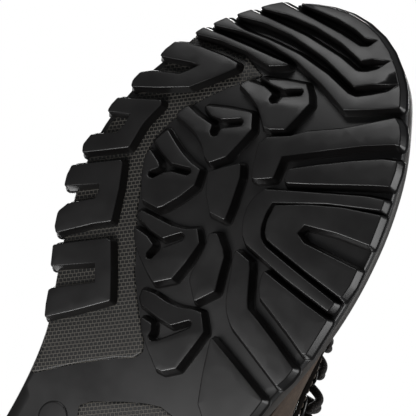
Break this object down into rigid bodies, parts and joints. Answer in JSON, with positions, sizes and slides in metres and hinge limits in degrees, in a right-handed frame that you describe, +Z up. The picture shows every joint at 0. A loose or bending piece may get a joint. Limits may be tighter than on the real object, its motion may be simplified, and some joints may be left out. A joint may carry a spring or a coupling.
{
  "type": "steel toe work boot",
  "caption": "Left lace-up safety work boot with a lugged rubber outsole, nubuck upper, padded collar, tongue, lacing and an internal steel toe cap.",
  "frame": {"origin": "on the ground, under the middle of the boot's outline", "axes": "+Z up, -Y toe, +Y heel, +X the outer (lateral) side of the left foot"},
  "size_m": [0.1097, 0.3087, 0.172],
  "materials": {
    "sole_rubber": "moulded black rubber, satin",
    "midsole": "moulded dark grey-brown polyurethane, satin",
    "bumper_rubber": "moulded rubber overlay, fine grain",
    "pad_rubber": "soft rubber",
    "nubuck": "dark taupe nubuck, matt",
    "smooth_leather": "dark smooth leather, satin",
    "collar_leather": "soft dark leather over foam",
    "lining_fabric": "knitted mesh",
    "footbed_fabric": "brushed fabric over foam",
    "board": "pressed fibre board",
    "steel": "rolled steel",
    "hardware": "black enamelled steel",
    "lace_cord": "braided round lace",
    "webbing": "woven webbing"
  },
  "bodies": {
    "boot": {"outsole": "sole_rubber", "midsole": "midsole", "steel_shank": "steel", "puncture_plate": "steel", "insole_board": "board", "lining": "lining_fabric", "steel_toe_cap": "steel", "toe_cap_edge_pad": "pad_rubber", "heel_counter": "board", "vamp": "nubuck", "quarter_lateral": "nubuck", "quarter_medial": "nubuck", "toe_bumper": "bumper_rubber", "heel_stabiliser": "bumper_rubber", "backstay": "smooth_leather", "eyestay_lateral": "smooth_leather", "eyestay_medial": "smooth_leather", "collar_pad": "collar_leather", "lace": "lace_cord", "eyelet_lateral_1": "hardware", "eyelet_lateral_2": "hardware", "eyelet_lateral_3": "hardware", "eyelet_lateral_4": "hardware", "eyelet_lateral_5": "hardware", "eyelet_medial_1": "hardware", "eyelet_medial_2": "hardware", "eyelet_medial_3": "hardware", "eyelet_medial_4": "hardware", "eyelet_medial_5": "hardware", "lace_hook_lateral_1": "hardware", "lace_hook_lateral_2": "hardware", "lace_hook_medial_1": "hardware", "lace_hook_medial_2": "hardware"},
    "tongue": {"tongue": "collar_leather"},
    "pull_loop": {"pull_loop": "webbing"},
    "footbed": {"footbed": "footbed_fabric"}
  },
  "joints": [
    {"name": "tongue_tilt", "type": "hinge", "parent": "boot", "child": "tongue", "pos_m": [0.0021, -0.058, 0.08], "axis": [-1, 0, 0], "range_deg": [0, 10]},
    {"name": "pull_loop_flip", "type": "hinge", "parent": "boot", "child": "pull_loop", "pos_m": [0.0046, 0.1535, 0.1375], "axis": [-1, 0, 0], "range_deg": [0, 70], "stiffness_Nm_per_rad": 0.005},
    {"name": "footbed_lift", "type": "hinge", "parent": "boot", "child": "footbed", "pos_m": [0.0026, -0.1418, 0.035], "axis": [1, 0, 0], "range_deg": [0, 3]}
  ]
}
